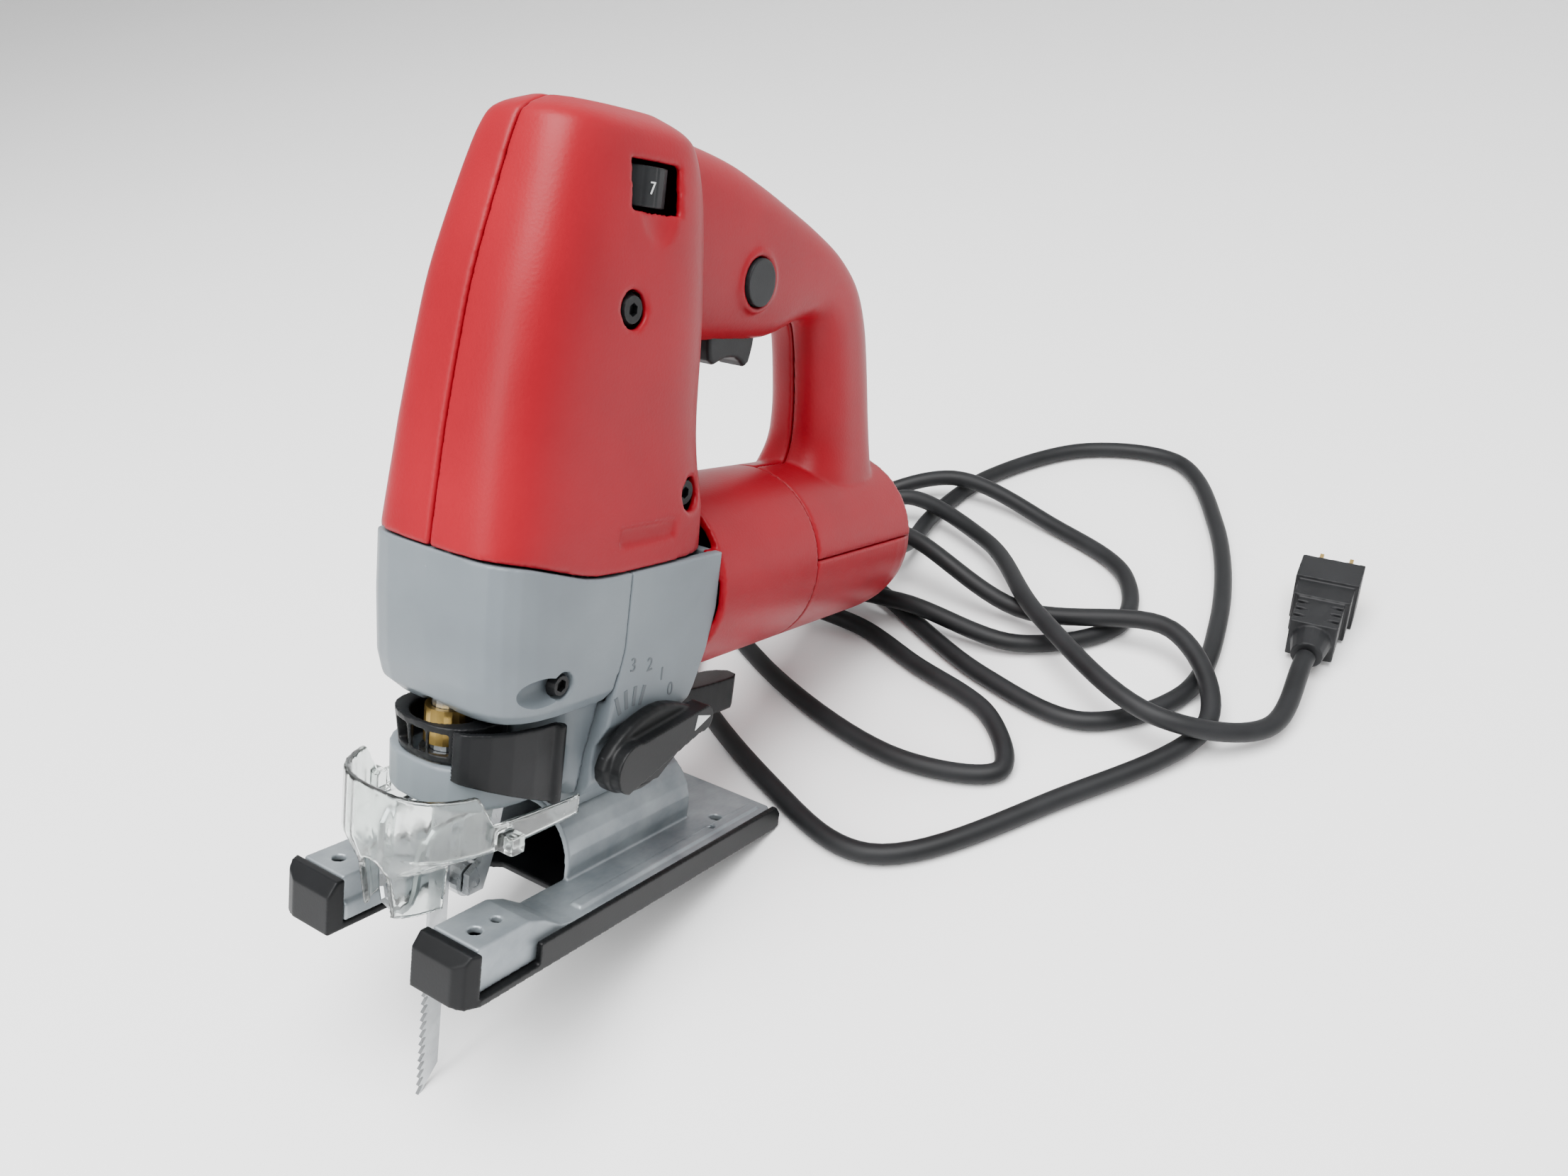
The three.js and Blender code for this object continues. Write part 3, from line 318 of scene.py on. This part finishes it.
def head_skin(inset):
    low = 100 if inset else 116.7
    ease = lambda x: (lambda t: t * t * (3 - 2 * t))(min(max((x + 32) / 43, 0), 1))
    top = [(132, -87.4, 11.2, 30.6, 4.3), (146, -83.5, 9.8, 29.6, 4.2), (160, -81.5, 8.3, 28.8, 4.1),
           (182, -81, 5, 27.6, 4),
           (200, -80, 1.6, 26.4, 3.9), (224, -78, -5.4, 24, 3.7), (238, -75, -10, 21.5, 3.5)]
    crown = [(243.5, -71, -13.5, 18.5, 3.2), (247.4, -62, -22, 11, 2.8)]
    top += [(242.8, -69, -14.5, 17.5, 3.2)] if inset else crown
    rings = [level(lambda x, y: low + ease(x) * 7.9, CASE_REAR + inset, 11.8 - inset, 31 - inset, 4.4)]
    rings += [level(z, a + inset, b - inset, h - inset, e) for z, a, b, h, e in between(top, 5)]
    return loft(rings)


def box(x0, x1, y0, y1, z0, z1):
    bm = bmesh.new()
    bmesh.ops.create_cube(bm, size=1)
    bmesh.ops.scale(bm, vec=(x1 - x0, y1 - y0, z1 - z0), verts=bm.verts)
    bmesh.ops.translate(bm, vec=((x0 + x1) / 2, (y0 + y1) / 2, (z0 + z1) / 2), verts=bm.verts)
    me = bpy.data.meshes.new("box")
    bm.to_mesh(me)
    bm.free()
    return me


def rod(axis, p, length, r0, r1=None, n=120):
    """A round bar from p along an axis."""
    bm = bmesh.new()
    end = r0 if r1 is None else r1
    bmesh.ops.create_cone(bm, cap_ends=True, segments=n, radius1=r0, radius2=end, depth=length)
    turn = Vector((0, 0, 1)).rotation_difference(Vector(axis)).to_matrix().to_4x4()
    middle = Matrix.Translation(Vector(p) + Vector(axis) * length / 2)
    bmesh.ops.transform(bm, matrix=middle @ turn, verts=bm.verts)
    me = bpy.data.meshes.new("rod")
    bm.to_mesh(me)
    bm.free()
    return me


def ball(p, radii):
    """A solid egg about p."""
    bm = bmesh.new()
    bmesh.ops.create_icosphere(bm, subdivisions=6, radius=1)
    bmesh.ops.transform(bm, matrix=Matrix.Translation(p) @ Matrix.Diagonal((*radii, 1)), verts=bm.verts)
    me = bpy.data.meshes.new("ball")
    bm.to_mesh(me)
    bm.free()
    return me


def prism(outline, axis, a, b):
    """An outline in the plane across an axis (x, y or z), from a to b along it."""
    put = {"x": lambda u, v, w: (w, u, v), "y": lambda u, v, w: (u, w, v),
           "z": lambda u, v, w: (u, v, w)}[axis]
    return loft([[put(u, v, w) for u, v in outline] for w in (a, b)])


def worked(base, *steps):
    """Cuts ("-"), joins ("+") or keeps ("&") solids on a base, one after another."""
    o = bpy.data.objects.new("work", base)
    bpy.context.collection.objects.link(o)
    tools = []
    for how, me in steps:
        t = bpy.data.objects.new("tool", me)
        bpy.context.collection.objects.link(t)
        m = o.modifiers.new("step", "BOOLEAN")
        m.solver, m.object = "MANIFOLD", t
        m.operation = {"-": "DIFFERENCE", "+": "UNION", "&": "INTERSECT"}[how]
        tools.append(t)
    out = bpy.data.meshes.new_from_object(o.evaluated_get(bpy.context.evaluated_depsgraph_get()))
    for t in tools + [o]:
        bpy.data.objects.remove(t)
    return out


def drum(r, x0, x1, n=160):
    return rod((1, 0, 0), (x0, 0, MOTOR_Z), x1 - x0, r, n=n)


SCREWS = ((-35.3, 193.4), (-70.2, 136.9))
outside = worked(grip_skin(0), ("+", head_skin(0)), ("-", box(-149, -88.4, -40, 40, 90, 134.2)),
                 ("-", worked(drum(MOTOR_R + 0.3, -151, -80),
                              ("-", box(CASE_REAR - 0.3, 0, -50, 50, 0, 200)))),
                 ("-", box(-240, SEAM_X - 0.9, -40, 40, 80, 104)),
                 ("+", worked(drum(MOTOR_R, -227.7, SEAM_X - 0.9),
                              ("&", box(-240, -140, -40, 40, 104, 150)))),
                 ("&", box(-227.7, 20, -40, 40, 104, 260)))
room = worked(grip_skin(SHELL), ("+", head_skin(SHELL)), ("-", box(-240, -86.2, -40, 40, 90, 138)),
              ("+", worked(drum(MOTOR_R - 3.2, -224, SEAM_X + 4), ("&", box(-240, -140, -40, 40, 90, 150)))))
steps = [("-", room)]
steps += [("+", worked(rod((0, 1, 0), (x, -26, z), 52, 4.6), ("&", outside.copy()))) for x, z in SCREWS]
steps += [("-", box(-131, -102.2, -6.4, 6.4, 170, 192)), ("-", box(-56, -33.6, 10, 40, 220.3, 234)),
          ("+", worked(rod((0, 1, 0), (-112, 14.2, 203), 3.6, 10.4),
                       ("-", rod((0, 1, 0), (-112, 10, 203), 20, 8.4)))),
          ("-", rod((0, 1, 0), (-112, 8, 203), 20, 8.4))]
for x, z in SCREWS:
    steps += [("-", rod((0, 1, 0), (x, -14, z), 60, 2.3)), ("-", rod((0, 1, 0), (x, 23.4, z), 20, 5.6))]
steps += [("-", box(-61.8, -34, 29.2, 40, 124.4, 130.8)), ("-", ball((-46, 30.2, 226), (14, 7.9, 19)))]
shell = worked(outside, *steps)

# red glass-filled nylon: spark-eroded grain, with a painted highlight that makes the sharp convex edges a
# little brighter
red, tree, shader = finish("Red glass-filled nylon", Roughness=0.42, Specular_IOR_Level=0.22)
place = node(tree, "ShaderNodeTexCoord")
cloud = node(tree, "ShaderNodeTexNoise", {"Scale": 14.0, "Detail": 4.0}, Vector=place.outputs["Object"])
grain = node(tree, "ShaderNodeTexNoise", {"Scale": 1500.0, "Detail": 3.0}, Vector=place.outputs["Object"])
pit = node(tree, "ShaderNodeTexVoronoi", {"Scale": 900.0}, Vector=place.outputs["Object"])
ramp = node(tree, "ShaderNodeValToRGB", Fac=cloud.outputs["Fac"])
two_tone(ramp, "#7A0112", 0.3, "#8E0419", 0.75)
# painted highlight: pointiness mixes the sharp convex edges towards a lighter red
edge = node(tree, "ShaderNodeNewGeometry")
painted_edge_highlight = node(tree, "ShaderNodeMapRange", {"From_Min": 0.62, "From_Max": 0.8, "To_Min": 0.0, "To_Max": 0.3},
              Value=edge.outputs["Pointiness"])
mixed = node(tree, "ShaderNodeMix", {"data_type": "RGBA"}, i0=painted_edge_highlight.outputs[0], i6=ramp.outputs[0])
mixed.inputs[7].default_value = linear("#B83240")
tree.links.new(mixed.outputs[2], shader.inputs["Base Color"])
rough = node(tree, "ShaderNodeMapRange", {"To_Min": 0.36, "To_Max": 0.52}, Value=cloud.outputs["Fac"])
tree.links.new(rough.outputs[0], shader.inputs["Roughness"])
both = node(tree, "ShaderNodeMath", {"operation": "ADD"}, i0=grain.outputs["Fac"], i1=pit.outputs["Distance"])
bump = node(tree, "ShaderNodeBump", {"Strength": 0.22, "Distance": 0.00012}, Height=both.outputs[0])
tree.links.new(bump.outputs[0], shader.inputs["Normal"])


def in_row(me):
    """Tool millimetres to the tilted tool's place in metres."""
    me.transform(TO_ROW)
    return me


for name, y0, y1 in (("handle_left", 0.07, 60), ("handle_right", -60, -0.07)):
    half = worked(shell.copy(), ("&", box(-300, 60, y0, y1, 80, 280)))
    made(name + "_shell", evened(in_row(half), 0.0009, 4), red, "housing", name, slot="red_plastic")

# ---- Motor housing and rear cover ----
# Red nylon drum round the field core, and a turned cap behind it with a moulded seam between
# them. The cap carries cooling slots and the gland hole for the cord.
housing = worked(drum(MOTOR_R, SEAM_X, -66), ("-", drum(MOTOR_R - 3, SEAM_X - 1, -60)),
                 ("-", box(CASE_REAR, -50, -40, 40, 115.9, 140)),
                 ("-", prism([(-40, 140), (-88.3, 140), (-88.6, 96), (-85.3, 82), (-80.3, 70), (-74.3, 60.4),
                              (-76.3, 49.8), (-84.3, 43.8), (-84.3, 20), (-40, 20)], "y", -40, 40)),
                 ("+", worked(drum(MOTOR_R - 0.4, -90, -83.5), ("-", drum(MOTOR_R - 3, -92, -80)),
                              ("&", box(-95, -80, -30.6, 30.6, 72, 116.2)))))
made("motor_housing_shell", evened(in_row(housing), 0.0007, 3), red, "housing", "motor_housing",
     slot="red_plastic")
profile = [(0.0, CAP_X), (17, CAP_X), (21, CAP_X + 0.4), (24, CAP_X + 1.2), (27, CAP_X + 2.3),
           (29.5, CAP_X + 4), (31.4, CAP_X + 6), (32.8, CAP_X + 8.5), (34, CAP_X + 14), (MOTOR_R, CAP_X + 22),
           (MOTOR_R, SEAM_X - 0.6)]
cap = loft([[(x, max(r, 0.01) * math.cos(t), MOTOR_Z + max(r, 0.01) * math.sin(t))
             for t in (2 * math.pi * k / 144 for k in range(144))] for r, x in profile])
hollow = ((24, CAP_X + 4), (30, CAP_X + 10), (31.5, CAP_X + 20), (31.5, SEAM_X + 1))
inner = loft([[(x, r * math.cos(t), MOTOR_Z + r * math.sin(t))
               for t in (2 * math.pi * k / 144 for k in range(144))] for r, x in hollow])
steps = [("-", inner), ("-", box(-228, -140, -40, 40, 103.7, 140)),
         ("-", rod((1, 0, 0), (CAP_X - 5, 0, 82), 20, 7.3))]
steps += [("-", box(-214 + i * 9, -210 + i * 9, -40, -24, 84, 100)) for i in range(4)]
made("rear_cover_shell", evened(in_row(worked(cap, *steps)), 0.0007, 3), red, "housing", "rear_cover",
     slot="red_plastic")

# ---- Gear case ----
# Two aluminium die castings, shot-blasted and painted a cool mid grey: the body whose foot sits
# on the shoe, and the rounded front with the plunger bushings and the ring round the clamp.
paint, tree, shader = finish("Grey paint on die-cast aluminium", Roughness=0.42)
shader.inputs["Specular IOR Level"].default_value = 0.35
place = node(tree, "ShaderNodeTexCoord")
orange = node(tree, "ShaderNodeTexNoise", {"Scale": 700.0, "Detail": 2.0}, Vector=place.outputs["Object"])
cloud = node(tree, "ShaderNodeTexNoise", {"Scale": 22.0, "Detail": 5.0}, Vector=place.outputs["Object"])
ramp = node(tree, "ShaderNodeValToRGB", Fac=cloud.outputs["Fac"])
two_tone(ramp, "#5E656A", 0.3, "#6E767B", 0.75)
# painted highlight: pointiness mixes the sharp convex edges towards a pale grey
edge = node(tree, "ShaderNodeNewGeometry")
painted_edge_highlight = node(tree, "ShaderNodeMapRange", {"From_Min": 0.62, "From_Max": 0.8, "To_Min": 0.0, "To_Max": 0.5},
              Value=edge.outputs["Pointiness"])
mixed = node(tree, "ShaderNodeMix", {"data_type": "RGBA"}, i0=painted_edge_highlight.outputs[0], i6=ramp.outputs[0])
mixed.inputs[7].default_value = linear("#C6CACC")
tree.links.new(mixed.outputs[2], shader.inputs["Base Color"])
bump = node(tree, "ShaderNodeBump", {"Strength": 0.2, "Distance": 0.00015}, Height=orange.outputs["Fac"])
tree.links.new(bump.outputs[0], shader.inputs["Normal"])
made("gear_case_body", rounded("gear_case", 0.0006, 3), paint, "housing", "gear_case", slot="grey_casting")
nose = worked(rounded("gear_case_front", 0.0006, 5), ("-", in_row(ball((-6, 30, 85.5), (9, 4.8, 4.6)))))
made("gear_case_nose", nose, paint, "housing", "gear_case_front", slot="grey_casting")

# raised orbit settings above the lever: four numerals and four index bars, cast in the wall and coloured
# darker than the case as painted shade
def numeral(text, size, x, z, y, body, material):
    """A low raised numeral facing left, its height in millimetres."""
    font = bpy.data.curves.new("numeral_" + text, "FONT")
    font.body, font.size, font.extrude, font.align_x = text, size, 0.12, "CENTER"
    font.offset = -0.02
    o = bpy.data.objects.new("numeral_work", font)
    bpy.context.collection.objects.link(o)
    me = bpy.data.meshes.new_from_object(o.evaluated_get(bpy.context.evaluated_depsgraph_get()))
    bpy.data.objects.remove(o)
    me.transform(Matrix.Translation((x, y, z)) @ Matrix.Rotation(math.pi, 4, "Z")
                 @ Matrix.Rotation(math.pi / 2, 4, "X"))
    return made("numeral_" + text + "_" + body, in_row(me), material, body, angle=40)


# painted shade: the cast numerals and index bars are coloured a darker grey than the case, standing in for
# the shade round their low relief
shade, tree, shader = finish("Darker grey painted shade for cast relief", Base_Color=linear("#4A5054"), Roughness=0.6)
place = node(tree, "ShaderNodeTexCoord")
grit = node(tree, "ShaderNodeTexNoise", {"Scale": 900.0, "Detail": 2.0}, Vector=place.outputs["Object"])
bump = node(tree, "ShaderNodeBump", {"Strength": 0.2, "Distance": 0.0001}, Height=grit.outputs["Fac"])
tree.links.new(bump.outputs[0], shader.inputs["Normal"])
for text, x, z in (("3", -45.5, 83.5), ("2", -54.0, 81.8), ("1", -61.0, 77.0), ("0", -66.5, 70.5)):
    numeral(text, 6.5, x, z, 31.55, "housing", shade)
for k, turn in enumerate((66, 79, 92, 105)):
    bar = box(14.5, 21, 31.3, 31.7, -0.75, 0.75)
    bar.transform(Matrix.Translation((-47, 0, 57)) @ Matrix.Rotation(-math.radians(turn), 4, "Y"))
    made("index_bar_%d" % k, in_row(bar), shade, "housing", slot="grey_casting", angle=40)

# ---- Shoe ----
# A pressed steel plate, zinc plated and passivated, with a half-round saddle for tilting, in a
# black moulded sole that keeps it from marking the work.
zinc, tree, shader = finish("Passivated zinc plate", Metallic=0.55, Roughness=0.42)
place = node(tree, "ShaderNodeTexCoord")
streak = node(tree, "ShaderNodeMapping", {"Scale": (60.0, 900.0, 900.0)}, Vector=place.outputs["Object"])
brush = node(tree, "ShaderNodeTexNoise", {"Scale": 1.0, "Detail": 3.0}, Vector=streak.outputs[0])
cloud = node(tree, "ShaderNodeTexNoise", {"Scale": 60.0, "Detail": 6.0}, Vector=place.outputs["Object"])
ramp = node(tree, "ShaderNodeValToRGB", Fac=cloud.outputs["Fac"])
two_tone(ramp, "#747B80", 0.3, "#9AA1A5", 0.75)
tree.links.new(ramp.outputs[0], shader.inputs["Base Color"])
rough = node(tree, "ShaderNodeMapRange", {"To_Min": 0.3, "To_Max": 0.58}, Value=brush.outputs["Fac"])
tree.links.new(rough.outputs[0], shader.inputs["Roughness"])
bump = node(tree, "ShaderNodeBump", {"Strength": 0.15, "Distance": 0.0001}, Height=brush.outputs["Fac"])
tree.links.new(bump.outputs[0], shader.inputs["Normal"])
made("shoe_plate_pressing", rounded("shoe_plate", 0.0005, 3), zinc, "shoe_body", "shoe_plate",
     slot="zinc_plate")
black, tree, shader = finish("Black moulded nylon", Roughness=0.45, Specular_IOR_Level=0.2)
place = node(tree, "ShaderNodeTexCoord")
grain = node(tree, "ShaderNodeTexNoise", {"Scale": 1200.0, "Detail": 3.0}, Vector=place.outputs["Object"])
cloud = node(tree, "ShaderNodeTexNoise", {"Scale": 40.0, "Detail": 4.0}, Vector=place.outputs["Object"])
ramp = node(tree, "ShaderNodeValToRGB", Fac=cloud.outputs["Fac"])
two_tone(ramp, "#08090A", 0.3, "#131416", 0.8)
# painted highlight: pointiness mixes the sharp convex edges towards a mid grey
edge = node(tree, "ShaderNodeNewGeometry")
painted_edge_highlight = node(tree, "ShaderNodeMapRange", {"From_Min": 0.62, "From_Max": 0.8, "To_Min": 0.0, "To_Max": 0.4},
              Value=edge.outputs["Pointiness"])
mixed = node(tree, "ShaderNodeMix", {"data_type": "RGBA"}, i0=painted_edge_highlight.outputs[0], i6=ramp.outputs[0])
mixed.inputs[7].default_value = linear("#5A5D5F")
tree.links.new(mixed.outputs[2], shader.inputs["Base Color"])
bump = node(tree, "ShaderNodeBump", {"Strength": 0.2, "Distance": 0.0001}, Height=grain.outputs["Fac"])
tree.links.new(bump.outputs[0], shader.inputs["Normal"])
made("shoe_sole_moulding", rounded("shoe_sole", 0.0005, 3), black, "shoe_body", "shoe_sole",
     slot="black_plastic")

# ---- Levers, buttons and small mouldings ----
# Small black and dark grey nylon mouldings: the clamp cage and its lever, the orbit lever with
# its finger bar, the bevel lever, trigger, lock button and the numbered speed wheel.
for source, body, slot in (("clamp_cage", "housing", "black_plastic"),
                           ("clamp_lever", "clamp_body", "black_plastic"),
                           ("bevel_lever", "bevel_body", "steel")):
    made(source + "_moulding", rounded(source, 0.0004, 4), black, body, source, slot=slot)
# the orbit lever's finger bar stands proud of its flat cam, wider at the pivot
bar = [(x + r * math.cos(math.radians(a)), z + r * math.sin(math.radians(a)))
       for x, z, r, first in ((-39.5, 55.5, 8.4, -72), (-74.5, 63, 4.6, 108))
       for a in range(first, first + 181, 12)]
lever = worked(rounded("orbit_lever", 0.0004, 4), ("+", in_row(prism(bar, "y", 34, 41.6))))
made("orbit_lever_moulding", evened(lever, 0.0004, 3), black, "orbit_body", "orbit_lever",
     slot="black_plastic")
dark, tree, shader = finish("Dark grey acetal", Roughness=0.48, Specular_IOR_Level=0.2)
place = node(tree, "ShaderNodeTexCoord")
grain = node(tree, "ShaderNodeTexNoise", {"Scale": 1300.0, "Detail": 3.0}, Vector=place.outputs["Object"])
cloud = node(tree, "ShaderNodeTexNoise", {"Scale": 90.0, "Detail": 4.0}, Vector=place.outputs["Object"])
ramp = node(tree, "ShaderNodeValToRGB", Fac=cloud.outputs["Fac"])
two_tone(ramp, "#121315", 0.3, "#1E2022", 0.8)
tree.links.new(ramp.outputs[0], shader.inputs["Base Color"])
bump = node(tree, "ShaderNodeBump", {"Strength": 0.2, "Distance": 0.0001}, Height=grain.outputs["Fac"])
tree.links.new(bump.outputs[0], shader.inputs["Normal"])
for source, body in (("trigger", "trigger_body"), ("lock_button", "lock_body"), ("speed_dial", "dial_body")):
    made(source + "_moulding", rounded(source, 0.00035, 3), dark, body, source, slot="dark_plastic")
white, tree, shader = finish("White pad-printed ink", Base_Color=linear("#C9CBCB"), Roughness=0.5)
place = node(tree, "ShaderNodeTexCoord")
thin = node(tree, "ShaderNodeTexNoise", {"Scale": 2500.0}, Vector=place.outputs["Object"])
rough = node(tree, "ShaderNodeMapRange", {"To_Min": 0.4, "To_Max": 0.7}, Value=thin.outputs["Fac"])
tree.links.new(rough.outputs[0], shader.inputs["Roughness"])
numeral("7", 5.0, -43.0, 225.2, 22.75, "dial_body", white)
for name in ("switch_body", "speed_module"):
    recoat(name, dark)
recoat("orbit_lever_face", black)
pointer = prism([(-69, 60.4), (-77, 63.6), (-70, 65.4)], "y", 41.4, 41.8)
made("orbit_pointer", in_row(pointer), white, "orbit_body", slot="black_plastic", angle=40)

# ---- Steel working parts ----
# Ground and hardened steel: plunger, chuck, blade, guide roller and its arm, gear and motor
# parts. Long fine grinding lines run round or along each.
steel, tree, shader = finish("Ground steel", Metallic=1.0, Roughness=0.3)
place = node(tree, "ShaderNodeTexCoord")
streak = node(tree, "ShaderNodeMapping", {"Scale": (1800.0, 1800.0, 120.0)}, Vector=place.outputs["Object"])
brush = node(tree, "ShaderNodeTexNoise", {"Scale": 1.0, "Detail": 2.0}, Vector=streak.outputs[0])
cloud = node(tree, "ShaderNodeTexNoise", {"Scale": 80.0, "Detail": 5.0}, Vector=place.outputs["Object"])
ramp = node(tree, "ShaderNodeValToRGB", Fac=cloud.outputs["Fac"])
two_tone(ramp, "#8F9294", 0.3, "#BCBFC1", 0.7)
tree.links.new(ramp.outputs[0], shader.inputs["Base Color"])
rough = node(tree, "ShaderNodeMapRange", {"To_Min": 0.2, "To_Max": 0.42}, Value=brush.outputs["Fac"])
tree.links.new(rough.outputs[0], shader.inputs["Roughness"])
for name in ("armature", "field_core", "bearing_front", "bearing_rear", "crank_gear", "gear_axle", "plunger",
             "blade", "guide_roller", "roller_pin", "roller_arm", "blade_chuck"):
    recoat(name, steel)
for name in ("cooling_fan", "handle_screw_upper", "handle_screw_lower", "case_screw"):
    recoat(name, black)

# ---- Clear chip guard and wire guard ----
# The guard is water-clear polycarbonate, moulded in one piece and gone slightly milky with fine
# scratches; the finger guard inside it is bent from plated spring wire.
clear, tree, shader = finish("Clear polycarbonate", Transmission_Weight=1.0, IOR=1.585, Roughness=0.08,
                             Base_Color=linear("#E9EFEC"))
place = node(tree, "ShaderNodeTexCoord")
haze = node(tree, "ShaderNodeTexNoise", {"Scale": 240.0, "Detail": 6.0}, Vector=place.outputs["Object"])
rough = node(tree, "ShaderNodeMapRange", {"From_Min": 0.45, "From_Max": 0.75, "To_Min": 0.05, "To_Max": 0.3},
             Value=haze.outputs["Fac"])
tree.links.new(rough.outputs[0], shader.inputs["Roughness"])
made("chip_guard_moulding", rounded("chip_guard", 0.0005, 4), clear, "housing", "chip_guard",
     slot="clear_plastic")
recoat("wire_guard", steel)
